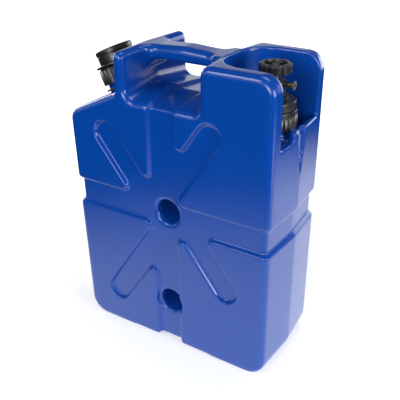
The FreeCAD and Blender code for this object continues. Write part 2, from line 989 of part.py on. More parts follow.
def valve_body():
    """Round valve body with a wider foot, its seat and the side port for the nozzle."""
    floor = housing_top + body_floor
    body = turned([
        (water_way, housing_top),
        (body_foot_radius, housing_top),
        (body_foot_radius, housing_top + body_foot_height),
        (body_radius, housing_top + body_foot_height + body_foot_slope),
        (body_radius, body_top - body_bevel),
        (body_radius - body_bevel, body_top),
        (body_cavity, body_top),
        (body_cavity, floor),
        (water_way + seat_width, floor),
        (water_way + seat_width, seat_top),
        (water_way, seat_top),
    ])
    start = Vec(body_cavity / 2, 0, nozzle_level)
    boss_length = body_radius + nozzle_boss_reach - start.x
    boss = Part.makeCylinder(nozzle_radius + nozzle_boss_wall, boss_length, start, ACROSS)
    port = Part.makeCylinder(nozzle_radius, far, start, ACROSS)
    chamber = disc(body_cavity, floor, body_top)
    return on_tap_axis(body.fuse(boss.cut(chamber)).cut(port.cut(chamber)))


def bonnet_nut():
    """Bonnet over the valve chamber, its gland holding the packing in a pocket."""
    plug_bottom = body_top - bonnet_plug
    hole = spindle_radius + running_gap
    body = turned([
        (hole, plug_bottom),
        (body_cavity, plug_bottom),
        (body_cavity, body_top),
        (bonnet_flange_radius, body_top),
        (bonnet_flange_radius, body_top + bonnet_flange),
        (gland_radius, body_top + bonnet_flange),
        (gland_radius, bonnet_top),
        (packing_radius, bonnet_top),
        (packing_radius, bonnet_top - packing_thickness),
        (hole, bonnet_top - packing_thickness),
    ])
    return on_tap_axis(body)


def stem_packing():
    """Packing ring round the spindle in the bonnet."""
    return on_tap_axis(tube(packing_radius, spindle_radius + running_gap, bonnet_top - packing_thickness,
                            bonnet_top))


def outlet_nozzle():
    """Brass outlet tube, straight out of the valve body."""
    length = nozzle_reach - body_cavity
    pipe = Part.makeCylinder(nozzle_radius, length, Vec(body_cavity, 0, nozzle_level), ACROSS)
    pipe = pipe.cut(Part.makeCylinder(nozzle_bore, far, Vec(0, 0, nozzle_level), ACROSS))
    return on_tap_axis(pipe.cut(disc(body_cavity, housing_top, body_top)))


def nozzle_end_ring():
    """Ring round the tip of the outlet tube."""
    start = Vec(nozzle_reach - nozzle_ring_width, 0, nozzle_level)
    ring = Part.makeCylinder(nozzle_ring_radius, nozzle_ring_width, start, ACROSS)
    return on_tap_axis(ring.cut(Part.makeCylinder(nozzle_radius, far, Vec(0, 0, nozzle_level), ACROSS)))


def valve_washer():
    """Rubber washer that closes on the seat."""
    return on_tap_axis(disc(washer_radius, washer_bottom, jumper_bottom))


def valve_jumper():
    """Plate and stem that carry the washer under the spindle."""
    plate = disc(washer_radius, jumper_bottom, jumper_top)
    return on_tap_axis(plate.fuse(disc(jumper_stem_radius, jumper_top, jumper_top + jumper_stem_length)))


def valve_spindle():
    """Spindle with a collar at its foot, bored for the jumper stem and the wheel screw."""
    top = wheel_bottom + wheel_seat
    bore = jumper_stem_radius + running_gap
    bore_end = top - wheel_screw_length - screw_end_gap
    socket_end = spindle_bottom + jumper_stem_length + screw_end_gap
    return on_tap_axis(turned([
        (bore, spindle_bottom),
        (spindle_collar_radius, spindle_bottom),
        (spindle_collar_radius, spindle_bottom + spindle_collar_height),
        (spindle_radius, spindle_bottom + spindle_collar_height),
        (spindle_radius, top),
        (wheel_screw_radius, top),
        (wheel_screw_radius, bore_end),
        (0, bore_end),
        (0, socket_end),
        (bore, socket_end),
    ]))


def handwheel():
    """Lobed handwheel with spokes and a skirt round its rim."""
    web_bottom = wheel_bottom + wheel_web_start
    seat = wheel_bottom + wheel_seat
    rim_inside = wheel_radius - wheel_rim
    body = turned([
        (spindle_radius, wheel_bottom),
        (wheel_hub_radius, wheel_bottom),
        (wheel_hub_radius, web_bottom),
        (rim_inside, web_bottom),
        (rim_inside, wheel_bottom),
        (wheel_radius, wheel_bottom),
        (wheel_radius, wheel_top - wheel_bevel),
        (wheel_radius - wheel_bevel, wheel_top),
        (rim_inside, wheel_top),
        (rim_inside - wheel_dish, seat),
        (spindle_radius, seat),
    ])
    scallop = disc(wheel_scallop, wheel_bottom, wheel_top, wheel_radius + wheel_scallop_out)
    ring = tube(rim_inside - wheel_dish, wheel_hub_radius + wheel_dish, web_bottom, seat)
    half = wheel_spoke_width / 2
    quarter = ring.common(box(half, far, half, far, web_bottom, seat))
    return on_tap_axis(less(body, around(scallop, wheel_lobes) + around(quarter, wheel_spokes)))


def handwheel_screw():
    """Screw that holds the wheel on the spindle."""
    seat = wheel_bottom + wheel_seat
    return on_tap_axis(slotted_screw(wheel_screw_head, wheel_screw_head_height, wheel_screw_radius,
                                     wheel_screw_length, seat))


def cartridge_head():
    """Head of the filter cartridge: flange, collar, two seal grooves and a spigot."""
    spigot = cage_radius - cage_wall
    profile = [
        (core_radius, head_bottom - cartridge_spigot),
        (spigot, head_bottom - cartridge_spigot),
        (spigot, head_bottom),
        (head_radius, head_bottom),
    ]
    for level in ring_levels:
        bottom = head_bottom + level
        profile += [
            (head_radius, bottom),
            (ring_bore, bottom),
            (ring_bore, bottom + ring_section),
            (head_radius, bottom + ring_section),
        ]
    profile += [
        (head_radius, head_flange_bottom),
        (neck_radius, head_flange_bottom),
        (neck_radius, head_flange_top),
        (head_collar_radius, head_flange_top),
        (head_collar_radius, housing_bottom + housing_socket),
        (core_radius, housing_bottom + housing_socket),
    ]
    return on_tap_axis(turned(profile))


def cartridge_seal_rings():
    """The two square-cut rings that seal the cartridge head in the neck."""
    rings = []
    for level in ring_levels:
        bottom = head_bottom + level
        rings.append(tube(filter_bore - running_gap, ring_bore, bottom, bottom + ring_section))
    return on_tap_axis(Part.makeCompound(rings))


def cartridge_cage():
    """Slotted cage round the fibres."""
    cage = tube(cage_radius, cage_radius - cage_wall, cage_bottom, head_bottom)
    pitch = (cage_length - cage_slot_bridge) / cage_slot_rows
    slots = []
    for row in range(cage_slot_rows):
        bottom = cage_bottom + cage_slot_bridge + row * pitch
        top = bottom + pitch - cage_slot_bridge
        slot = box(0, far, -cage_slot_width / 2, cage_slot_width / 2, bottom, top)
        slots += around(slot, cage_slot_columns)
    return on_tap_axis(less(cage, slots))


def prefilter_sleeve():
    """Foam sleeve round the cage, which keeps coarse dirt off the fibres."""
    return on_tap_axis(tube(cage_radius + sleeve_thickness, cage_radius, cage_bottom + sleeve_end_gap,
                            head_bottom - sleeve_end_gap))


def core_tube():
    """Tube that leads the clean water from the fibres up to the head."""
    return on_tap_axis(tube(core_radius, core_bore, cage_bottom + cartridge_foot_plug, head_flange_top))


def fibre_bundle():
    """Hollow fibres packed round the core tube, as one body."""
    outer = cage_radius - cage_wall - bundle_gap
    return on_tap_axis(tube(outer, core_radius, cage_bottom + cartridge_foot_plug,
                            head_bottom - cartridge_spigot))


def cartridge_foot():
    """End cap under the cage."""
    plug = cage_radius - cage_wall
    return on_tap_axis(turned([
        (0, cage_bottom - cartridge_foot_flange),
        (cage_radius, cage_bottom - cartridge_foot_flange),
        (cage_radius + sleeve_thickness, cage_bottom),
        (plug, cage_bottom),
        (plug, cage_bottom + cartridge_foot_plug),
        (0, cage_bottom + cartridge_foot_plug),
    ]))


PARTS = [
    tank_shell,
    pump_neck_gasket,
    pump_neck_ring,
    pump_barrel,
    pump_head,
    rod_wiper,
    foot_cap,
    foot_valve_disc,
    foot_valve_cage,
    pump_collar_nut,
    pump_rod,
    pump_handle,
    handle_screw,
    piston,
    piston_cup_seal,
    piston_nut,
    housing_gasket,
    tap_housing,
    valve_body,
    bonnet_nut,
    stem_packing,
    outlet_nozzle,
    nozzle_end_ring,
    cartridge_head,
    cartridge_seal_rings,
    cartridge_cage,
    prefilter_sleeve,
    fibre_bundle,
    core_tube,
    cartridge_foot,
    tap_lock_ring,
    valve_jumper,
    valve_washer,
    handwheel,
    valve_spindle,
    handwheel_screw,
]


def write_parts():
    """Writes each piece to its own STEP file, named after its function."""
    for make in PARTS:
        shape = make()
        shape.exportStep("parts/" + make.__name__ + ".step")


if __name__ == "__main__":
    write_parts()
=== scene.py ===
import json
import math

import bmesh
import bpy
import numpy as np
from mathutils import Matrix, Vector
from mathutils.kdtree import KDTree


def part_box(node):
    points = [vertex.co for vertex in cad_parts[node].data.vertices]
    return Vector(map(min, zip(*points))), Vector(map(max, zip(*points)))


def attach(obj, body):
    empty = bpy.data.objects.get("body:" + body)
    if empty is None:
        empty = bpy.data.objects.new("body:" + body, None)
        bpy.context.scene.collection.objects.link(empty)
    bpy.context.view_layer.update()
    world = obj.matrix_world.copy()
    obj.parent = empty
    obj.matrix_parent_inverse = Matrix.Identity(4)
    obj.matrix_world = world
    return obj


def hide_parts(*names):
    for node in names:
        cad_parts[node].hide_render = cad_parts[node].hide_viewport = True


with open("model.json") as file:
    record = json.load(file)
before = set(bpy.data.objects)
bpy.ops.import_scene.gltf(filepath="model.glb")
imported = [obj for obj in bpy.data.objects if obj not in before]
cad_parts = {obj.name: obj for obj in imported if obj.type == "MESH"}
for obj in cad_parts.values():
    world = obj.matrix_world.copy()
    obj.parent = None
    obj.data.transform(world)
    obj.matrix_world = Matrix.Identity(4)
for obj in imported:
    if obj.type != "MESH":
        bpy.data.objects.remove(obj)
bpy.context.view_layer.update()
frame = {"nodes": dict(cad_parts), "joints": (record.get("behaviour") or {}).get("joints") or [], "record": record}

MM = 0.001
SAME_POINT = 1e-6
NODES = frame["nodes"]
JOINTS = {joint["name"]: joint for joint in frame["joints"]}


def placed(name, data):
    """A new object of the scene."""
    item = bpy.data.objects.new(name, data)
    bpy.context.scene.collection.objects.link(item)
    return item


# Camera, at the photograph's viewing angle

CAMERA_AZIMUTH = math.radians(31.06)
CAMERA_ELEVATION = math.radians(28.68)
CAMERA_DISTANCE = 0.8993
CAMERA_TARGET = Vector((0.0414, 0.0, 0.2319))
CAMERA_LENS = 53.33
CAMERA_SHIFT = (-0.0439, 0.0089)
CAMERA_NEAREST = 0.01


def add_camera():
    """Camera that frames the object as the photograph does."""
    data = bpy.data.cameras.new("camera")
    camera = placed("camera", data)
    flat = math.cos(CAMERA_ELEVATION)
    back = Vector((
        math.sin(CAMERA_AZIMUTH) * flat,
        -math.cos(CAMERA_AZIMUTH) * flat,
        math.sin(CAMERA_ELEVATION),
    ))
    camera.location = CAMERA_TARGET + back * CAMERA_DISTANCE
    camera.rotation_euler = (-back).to_track_quat("-Z", "Y").to_euler()
    data.lens = CAMERA_LENS
    data.shift_x, data.shift_y = CAMERA_SHIFT
    data.clip_start = CAMERA_NEAREST
    bpy.context.scene.camera = camera


# Materials

MIX_COLOURS = (6, 7)
MIX_RESULT = 2
FULL = (0.0, 1.0)


class Surface:
    """A node material built round one Principled shader."""

    def __init__(self, name, roughness, metallic=0.0):
        self.material = bpy.data.materials.new(name)
        self.material.use_nodes = True
        self.nodes = self.material.node_tree.nodes
        self.links = self.material.node_tree.links
        self.shader = self.nodes["Principled BSDF"]
        self.shader.inputs["Roughness"].default_value = roughness
        self.shader.inputs["Metallic"].default_value = metallic
        self.place = self.nodes.new("ShaderNodeTexCoord").outputs["Object"]

    def noise(self, scale, detail=3.0, stretch=(1, 1, 1)):
        """Noise from 0 to 1, with scale in features per metre."""
        mapping = self.nodes.new("ShaderNodeMapping")
        mapping.inputs["Scale"].default_value = stretch
        self.links.new(self.place, mapping.inputs["Vector"])
        texture = self.nodes.new("ShaderNodeTexNoise")
        texture.inputs["Scale"].default_value = scale
        texture.inputs["Detail"].default_value = detail
        self.links.new(mapping.outputs["Vector"], texture.inputs["Vector"])
        return texture.outputs["Fac"]

    def remap(self, value, old, new):
        """A value moved from an old range to a new one, and kept inside it."""
        node = self.nodes.new("ShaderNodeMapRange")
        self.links.new(value, node.inputs["Value"])
        for name, level in zip(("From Min", "From Max", "To Min", "To Max"), (*old, *new)):
            node.inputs[name].default_value = level
        return node.outputs["Result"]

    def blend(self, factor, first, second):
        """Colour between two colours, or between an earlier colour and a new one."""
        node = self.nodes.new("ShaderNodeMix")
        node.data_type = "RGBA"
        self.links.new(factor, node.inputs["Factor"])
        for socket, colour in zip(MIX_COLOURS, (first, second)):
            if isinstance(colour, bpy.types.NodeSocket):
                self.links.new(colour, node.inputs[socket])
            else:
                node.inputs[socket].default_value = (*colour, 1)
        return node.outputs[MIX_RESULT]

    def painted_edge_highlight(self, pointiness):
        """Mask that is 1 on sharp convex edges, from the mesh's pointiness: where a highlight is painted."""
        geometry = self.nodes.new("ShaderNodeNewGeometry")
        return self.remap(geometry.outputs["Pointiness"], pointiness, FULL)

    def colour(self, value):
        """Gives the shader its colour."""
        self.links.new(value, self.shader.inputs["Base Color"])

    def roughness(self, value):
        """Gives the shader its roughness."""
        self.links.new(value, self.shader.inputs["Roughness"])

    def bump(self, value, strength, depth, under=None):
        """Bump of the given depth in metres, on top of an earlier one."""
        node = self.nodes.new("ShaderNodeBump")
        node.inputs["Strength"].default_value = strength
        node.inputs["Distance"].default_value = depth
        self.links.new(value, node.inputs["Height"])
        if under is not None:
            self.links.new(under, node.inputs["Normal"])
        self.links.new(node.outputs["Normal"], self.shader.inputs["Normal"])
        return node.outputs["Normal"]


MIDDLE = (0.3, 0.7)
HIGHLIGHT_POINTINESS = (0.53, 0.62)
GLOSS_MOTTLE = 2.3
GLOSS_LOW = 0.85
GLOSS_HIGH = 1.2


def moulded(name, colour, other, roughness, mottle, grain, depth, highlight_colour=None):
    """Moulded plastic or rubber: uneven colour and gloss, fine grain and sharp edges painted lighter, a painted
    highlight.
    """
    surface = Surface(name, roughness)
    tone = surface.blend(surface.noise(mottle), colour, other)
    # Sharp convex edges are painted lighter: a painted edge highlight.
    if highlight_colour is not None:
        tone = surface.blend(surface.painted_edge_highlight(HIGHLIGHT_POINTINESS), tone, highlight_colour)
    surface.colour(tone)
    patchy = surface.noise(mottle * GLOSS_MOTTLE, detail=6.0)
    surface.roughness(surface.remap(patchy, MIDDLE, (roughness * GLOSS_LOW, roughness * GLOSS_HIGH)))
    surface.bump(surface.noise(grain, detail=2.0), strength=0.5, depth=depth)
    return surface


def blue_plastic():
    """Glossy blown polyethylene: uneven blue, slow waves in the wall and a faint orange peel."""
    surface = Surface("blue_plastic", roughness=0.18)
    cloud = surface.noise(9.0, detail=2.0)
    surface.colour(surface.blend(cloud, (0.0018, 0.056, 0.360), (0.0022, 0.068, 0.405)))
    surface.roughness(surface.remap(surface.noise(38.0, detail=5.0), MIDDLE, (0.15, 0.20)))
    waves = surface.bump(surface.noise(14.0, detail=1.0), strength=0.12, depth=0.0012)
    surface.bump(surface.noise(900.0, detail=2.0), strength=0.15, depth=0.00003, under=waves)
    return surface


def brass():
    """Dull brass, brown with tarnish."""
    surface = Surface("brass", roughness=0.4, metallic=1.0)
    tarnish = surface.remap(surface.noise(260.0, detail=6.0), (0.45, 0.7), FULL)
    surface.colour(surface.blend(tarnish, (0.30, 0.22, 0.11), (0.16, 0.11, 0.06)))
    surface.roughness(surface.remap(tarnish, FULL, (0.34, 0.55)))
    marks = surface.noise(1500.0, detail=2.0, stretch=(1, 8, 8))
    surface.bump(marks, strength=0.2, depth=0.00002)
    return surface


def steel():
    """Dull grey steel with fine turning marks."""
    surface = Surface("steel", roughness=0.4, metallic=1.0)
    lines = surface.noise(900.0, detail=3.0, stretch=(0.1, 0.1, 4))
    surface.colour(surface.blend(lines, (0.10, 0.105, 0.115), (0.17, 0.175, 0.19)))
    surface.roughness(surface.remap(lines, MIDDLE, (0.34, 0.5)))
    surface.bump(lines, strength=0.2, depth=0.00002)
    return surface


def foam():
    """Open-pored foam, with painted shade in its pores."""
    surface = Surface("foam", roughness=0.95)
    cells = surface.nodes.new("ShaderNodeTexVoronoi")
    cells.inputs["Scale"].default_value = 1100.0
    surface.links.new(surface.place, cells.inputs["Vector"])
    pores = surface.remap(cells.outputs["Distance"], (0.0, 0.6), FULL)
    # The pores are painted darker than the foam: painted shade in the pores.
    surface.colour(surface.blend(pores, (0.45, 0.45, 0.43), (0.88, 0.88, 0.85)))
    surface.bump(pores, strength=0.8, depth=0.0006)
    return surface


def fibres():
    """Fine upright fibres, side by side."""
    surface = Surface("fibres", roughness=0.6)
    strands = surface.noise(1400.0, detail=2.0, stretch=(1, 1, 0.01))
    surface.colour(surface.blend(strands, (0.62, 0.62, 0.58), (0.93, 0.93, 0.90)))
    surface.bump(strands, strength=0.7, depth=0.0004)
    return surface


MATERIALS = {
    "blue_plastic": blue_plastic(),
    "black_plastic": moulded(
        "black_plastic", (0.010, 0.010, 0.012), (0.020, 0.020, 0.022),
        # The last colour is that of the painted edge highlight on sharp edges.
        roughness=0.3, mottle=60.0, grain=1400.0, depth=0.00005, highlight_colour=(0.085, 0.085, 0.09),
    ),
    "black_rubber": moulded(
        "black_rubber", (0.018, 0.018, 0.018), (0.028, 0.027, 0.026),
        # The last colour is that of the painted edge highlight on sharp edges.
        roughness=0.7, mottle=80.0, grain=900.0, depth=0.0001, highlight_colour=(0.06, 0.06, 0.06),
    ),
    "pale_plastic": moulded(
        "pale_plastic", (0.70, 0.70, 0.66), (0.78, 0.78, 0.75),
        roughness=0.4, mottle=40.0, grain=900.0, depth=0.00005,
    ),
    "brass": brass(),
    "steel": steel(),
    "foam": foam(),
    "fibres": fibres(),
}


def dress(piece, slot):
    """Gives a piece the material of one of the record's slots."""
    piece.data.materials.clear()
    piece.data.materials.append(MATERIALS[slot].material)


# Mesh helpers

ARC_STEPS = 4
ARC_SHARE = 0.48
SAME_POINT_MM = 1e-5
SMOOTH_STEP = 0.5


def new_piece(name, mesh, body, slot, *replaced):
    """A shown piece that rides on a body and stands for CAD nodes."""
    piece = placed(name, mesh)
    dress(piece, slot)
    mesh.shade_smooth()
    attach(piece, body)
    if replaced:
        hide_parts(*replaced)
    return piece


def finished(shape, place):
    """Turns a bmesh in millimetres into a mesh in metres at its place."""
    shape.transform(place @ Matrix.Scale(MM, 4))
    mesh = bpy.data.meshes.new("piece")
    shape.to_mesh(mesh)
    shape.free()
    return mesh


def rounded_profile(corners):
    """Closed profile of (radius, height, rounding) corners, with each corner turned into a curve."""
    points = []
    count = len(corners)
    for i, (radius, height, rounding) in enumerate(corners):
        here = Vector((radius, height))
        back = Vector(corners[i - 1][:2]) - here
        ahead = Vector(corners[(i + 1) % count][:2]) - here
        if rounding <= 0 or back.length == 0 or ahead.length == 0:
            points.append(here)
            continue
        half = back.angle(ahead) / 2
        reach = min(rounding / math.tan(half), back.length * ARC_SHARE, ahead.length * ARC_SHARE)
        start = here + back.normalized() * reach
        end = here + ahead.normalized() * reach
        for step in range(ARC_STEPS + 1):
            t = step / ARC_STEPS
            points.append(start * (1 - t) ** 2 + here * (2 * t * (1 - t)) + end * t ** 2)
    return points


def turned(corners, segments, place, wave=None):
    """Mesh of revolution about Z, in millimetres; wave(angle, radius, height) changes the radius."""
    points = rounded_profile(corners)
    shape = bmesh.new()
    rings = []
    for i in range(segments):
        angle = 2 * math.pi * i / segments
        ring = []
        for radius, height in points:
            reach = radius if wave is None else wave(angle, radius, height)
            ring.append(shape.verts.new((reach * math.cos(angle), reach * math.sin(angle), height)))
        rings.append(ring)
    for i in range(segments):
        here, there = rings[i], rings[(i + 1) % segments]
        for k in range(len(points)):
            following = (k + 1) % len(points)
            shape.faces.new((here[k], there[k], there[following], here[following]))
    bmesh.ops.remove_doubles(shape, verts=shape.verts, dist=SAME_POINT_MM)
    bmesh.ops.recalc_face_normals(shape, faces=shape.faces)
    return finished(shape, place)


def block(low, high, place):
    """Box between two corners, in millimetres."""
    shape = bmesh.new()
    bmesh.ops.create_cube(shape, size=1.0)
    low, high = Vector(low), Vector(high)
    size = high - low
    shape.transform(Matrix.Translation((low + high) / 2) @ Matrix.Diagonal((*size, 1)))
    return finished(shape, place)


def joined(meshes):
    """One mesh out of several."""
    shape = bmesh.new()
    for mesh in meshes:
        shape.from_mesh(mesh)
    result = bpy.data.meshes.new("joined")
    shape.to_mesh(result)
    shape.free()
    return result


def modified(holder):
    """The mesh that an object's modifiers make of it; the object itself goes."""
    graph = bpy.context.evaluated_depsgraph_get()
    mesh = bpy.data.meshes.new_from_object(holder.evaluated_get(graph))
    bpy.data.objects.remove(holder)
    return mesh


def points_of(mesh):
    """The mesh's vertices as rows of an array."""
    points = np.zeros(len(mesh.vertices) * 3)
    mesh.vertices.foreach_get("co", points)
    return points.reshape(-1, 3)


def neighbours(mesh):
    """Each edge twice, once from either end: the vertices it starts from, and those it leads to."""
    edges = np.zeros(len(mesh.edges) * 2, int)
    mesh.edges.foreach_get("vertices", edges)
    first, second = edges.reshape(-1, 2).T
    return np.concatenate([first, second]), np.concatenate([second, first])


def smooth(mesh, rounds):
    """Moves each vertex half way towards the middle of its neighbours, some rounds over."""
    points = points_of(mesh)
    count = len(points)
    ends, others = neighbours(mesh)
    degree = np.bincount(ends, minlength=count)
    for _ in range(rounds):
        middle = np.stack([np.bincount(ends, points[others, k], count) for k in range(3)], 1)
        middle /= degree[:, None]
        points += (middle - points) * SMOOTH_STEP
    mesh.vertices.foreach_set("co", points.ravel())
    mesh.update()


def remeshed(mesh, voxel, rounds):
    """The mesh as one soft skin: voxels of the given size in metres, then rounds of smoothing."""
    holder = placed("holder", mesh)
    remesh = holder.modifiers.new("remesh", "REMESH")
    remesh.mode = "VOXEL"
    remesh.voxel_size = voxel
    skin = modified(holder)
    smooth(skin, rounds)
    return skin


def thinned(mesh, chosen, share):
    """The mesh with its chosen part made of fewer faces, down to a share of the whole count."""
    holder = placed("holder", mesh)
    group = holder.vertex_groups.new(name="thin")
    group.add([int(i) for i in np.nonzero(chosen)[0]], 1.0, "REPLACE")
    thin = holder.modifiers.new("thin", "DECIMATE")
    thin.ratio = share
    thin.vertex_group = group.name
    return modified(holder)


def reached(mesh, start, blocked):
    """Mask of the vertices that edges join to the start without a blocked vertex between."""
    count = len(mesh.vertices)
    ends, others = neighbours(mesh)
    others = others[np.argsort(ends, kind="stable")]
    spans = np.searchsorted(np.sort(ends), np.arange(count + 1))
    found = np.zeros(count, bool)
    found[start] = True
    fresh = np.array([start])
    while len(fresh):
        near = np.unique(np.concatenate([others[spans[i]:spans[i + 1]] for i in fresh]))
        fresh = near[~found[near] & ~blocked[near]]
        found[fresh] = True
    return found


# Axes of the pump and the tap, on which their pieces are made upright in millimetres

def upright(joint, from_floor=False):
    """Matrix that stands a piece made about Z on a joint's axis, from the joint or from the floor."""
    turn = Vector((0, 0, 1)).rotation_difference(Vector(JOINTS[joint]["axis"])).to_matrix().to_4x4()
    foot = Vector(JOINTS[joint]["pos_m"])
    if from_floor:
        foot.z = 0.0
    return Matrix.Translation(foot) @ turn


PUMP = upright("collar_turn")
TAP = upright("lock_ring_turn", from_floor=True)


def reach_of(node, place):
    """Lowest and highest level and widest radius of a CAD node about an axis, in millimetres."""
    back = place.inverted()
    points = np.array([back @ vertex.co for vertex in NODES[node].data.vertices]) / MM
    wide = np.hypot(points[:, 0], points[:, 1]).max()
    return points[:, 2].min(), points[:, 2].max(), wide


# Tank: voxels in metres, everything else in millimetres

TANK_VOXEL = 0.0015
TANK_ROUNDS = 6
TANK_SHARE = 0.56
TANK_WALL = 3.0

# Relief of the front, across and up; the back is its mirror image
FACE = 78.5
RELIEF_DEPTH = 6.0
RELIEF_SLOPE = 4.0
WAIST_LOW = 216.5
WAIST_HIGH = 259.6
WAIST = (WAIST_LOW + WAIST_HIGH) / 2
ARM_HALF_WIDTH = 20.5
ARMS = [
    # end across, end up, place across where the arm meets the waist
    (-101.5, 342.5, -22.6),
    (73.8, 372.0, -20.5),
    (-100.5, 69.0, 14.7),
    (100.0, 138.0, 25.8),
]
CHANNEL_LEFT = -23.0
CHANNEL_RIGHT = 20.5
CHANNEL_LEAN = 5.5
CHANNEL_BEND = 284.0
CHANNEL_TOP = 450.0
PAD_ROUND = 6.0
RIM_SOFTNESS = 0.6

# Where the relief is softened: inside these limits, fading out towards them and towards the holes
RELIEF_HALF_WIDTH = 158.0
RELIEF_LOW = 12.0
RELIEF_HIGH = 390.0
RELIEF_FADE = 8
RELIEF_MARGIN = 1
HOLE_HEIGHTS = (79.0, 239.0)
HOLE_MOUTH = 24.5
HOLE_FADE = 3

# Grid on which the contour of the pads is traced
CONTOUR_ACROSS = (-180, 180)
CONTOUR_UP = (-20, 470)
CONTOUR_STEP = 0.5

# Fillers at the lower hole: radii and depths of the rings and of the staves
HOLE_COLLAR = (20.8, 26.0)
HOLE_COLLAR_DEPTHS = (67.6, 71.0)
HOLE_STAVE = (24.7, 28.2)
HOLE_STAVE_DEPTHS = (69.5, 76.5)
HOLE_STAVE_HALF_WIDTH = 3.4
HOLE_STAVE_ANGLES = (-30, -15, 0, 15, 30, 170, 180, 190)

# Bores of the two necks, which join the outside skin to the inside one
PUMP_BORE = 25.0
PUMP_BORE_FOOT = 0.0
FILTER_BORE = 24.5
FILTER_BORE_FOOT = 365.0
BORE_HEIGHT = 24.0
BORE_MARGIN = 1.0


def to_recess(x, z):
    """Distance in the plane of the face to the nearest recess, negative inside one."""
    nearest = np.abs(z - WAIST) - (WAIST_HIGH - WAIST_LOW) / 2
    for end_x, end_z, waist_x in ARMS:
        along = np.array([waist_x - end_x, WAIST - end_z])
        share = np.clip(((x - end_x) * along[0] + (z - end_z) * along[1]) / (along @ along), 0, 1)
        arm = np.hypot(x - end_x - share * along[0], z - end_z - share * along[1]) - ARM_HALF_WIDTH
        nearest = np.minimum(nearest, arm)
    rise = CHANNEL_TOP - CHANNEL_BEND
    lean = CHANNEL_LEAN * (1 - np.clip((z - CHANNEL_BEND) / rise, 0, 1))
    across = CHANNEL_LEFT - np.where(z > WAIST, lean, 0.0)
    return np.minimum(nearest, np.maximum(across - x, x - CHANNEL_RIGHT))


def contour_tree():
    """Points on the line that runs PAD_ROUND inside the pads, for finding distances to it."""
    x, z = np.meshgrid(np.arange(*CONTOUR_ACROSS, CONTOUR_STEP), np.arange(*CONTOUR_UP, CONTOUR_STEP))
    level = to_recess(x, z) - PAD_ROUND - CONTOUR_STEP / 10
    every, earlier, later = slice(None), slice(None, -1), slice(1, None)
    points = []
    for first, second in (((earlier, every), (later, every)), ((every, earlier), (every, later))):
        crossed = level[first] * level[second] < 0
        share = level[first][crossed] / (level[first][crossed] - level[second][crossed])
        points.append(np.stack([
            x[first][crossed] * (1 - share) + x[second][crossed] * share,
            z[first][crossed] * (1 - share) + z[second][crossed] * share,
        ], 1))
    points = np.concatenate(points)
    tree = KDTree(len(points))
    for i, (a, b) in enumerate(points):
        tree.insert((a, b, 0), i)
    tree.balance()
    return tree


def ease(share):
    """Smooth step from 0 to 1."""
    share = np.clip(share, 0, 1)
    return share * share * (3 - 2 * share)


def soften_relief(points, outside):
    """Gives the relief rounded pad corners and softly rounded rims; points are in millimetres.

    The points outside get the new depth, and those on the skin within move along with them.
    """
    x, z = points[:, 0], points[:, 2]
    deep = FACE - np.abs(points[:, 1])
    to_hole = np.min([np.hypot(x, z - height) for height in HOLE_HEIGHTS], 0)
    inward = np.min([RELIEF_HALF_WIDTH - np.abs(x), z - RELIEF_LOW, RELIEF_HIGH - z], 0)
    weight = ease(inward / RELIEF_FADE) * ease((to_hole - HOLE_MOUTH) / HOLE_FADE)
    on_face = deep < RELIEF_DEPTH + 2 * TANK_WALL
    near_recess = to_recess(x, z) < PAD_ROUND + RELIEF_MARGIN
    chosen = np.nonzero((weight > 0) & on_face & near_recess)[0]
    x, z, deep, weight = x[chosen], z[chosen], deep[chosen], weight[chosen]
    distance = to_recess(x, z)
    tree = contour_tree()
    gone = np.array([tree.find((a, b, 0))[2] for a, b in zip(x, z)])
    past = np.where(distance < PAD_ROUND, gone, -gone) - PAD_ROUND
    before = RELIEF_DEPTH * np.clip(-distance / RELIEF_SLOPE, 0, 1)
    after = RELIEF_DEPTH * ease((past + RIM_SOFTNESS) / (RELIEF_SLOPE + 2 * RIM_SOFTNESS))
    move = np.where(outside[chosen], after - deep, after - before) * weight
    points[chosen, 1] += move * -np.sign(points[chosen, 1])
    return points


def in_bore(points, place, bore, foot):
    """Mask of the points, in metres, on the wall of a neck's bore."""
    back = np.array(place.inverted())
    local = points @ back[:3, :3].T + back[:3, 3]
    away = np.abs(np.hypot(local[:, 0], local[:, 1]) - bore * MM)
    above_foot = local[:, 2] > foot * MM
    return (away < BORE_MARGIN * MM) & above_foot & (local[:, 2] < (foot + BORE_HEIGHT) * MM)


def hole_fillers():
    """Rings and staves behind the wall, inside the tank, at both mouths of the lower hole.

    The mouths cut through the CAD wall at the edges of the channel, which leaves four openings in
    the CAD tank. The fillers close them in the shown tank only.
    """
    place = Matrix.Translation((0, 0, min(HOLE_HEIGHTS) * MM)) @ Matrix.Rotation(math.pi / 2, 4, "X")
    inner, outer = HOLE_COLLAR
    near, far = HOLE_COLLAR_DEPTHS
    fillers = []
    for low, high in ((near, far), (-far, -near)):
        corners = [(inner, low, 0), (outer, low, 0), (outer, high, 0), (inner, high, 0)]
        fillers.append(turned(corners, 96, place))
    inner, outer = HOLE_STAVE
    near, far = HOLE_STAVE_DEPTHS
    side = HOLE_STAVE_HALF_WIDTH
    for angle in HOLE_STAVE_ANGLES:
        turn = place @ Matrix.Rotation(math.radians(angle), 4, "Z")
        for low, high in ((near, far), (-far, -near)):
            fillers.append(block((inner, -side, low), (outer, side, high), turn))
    return fillers


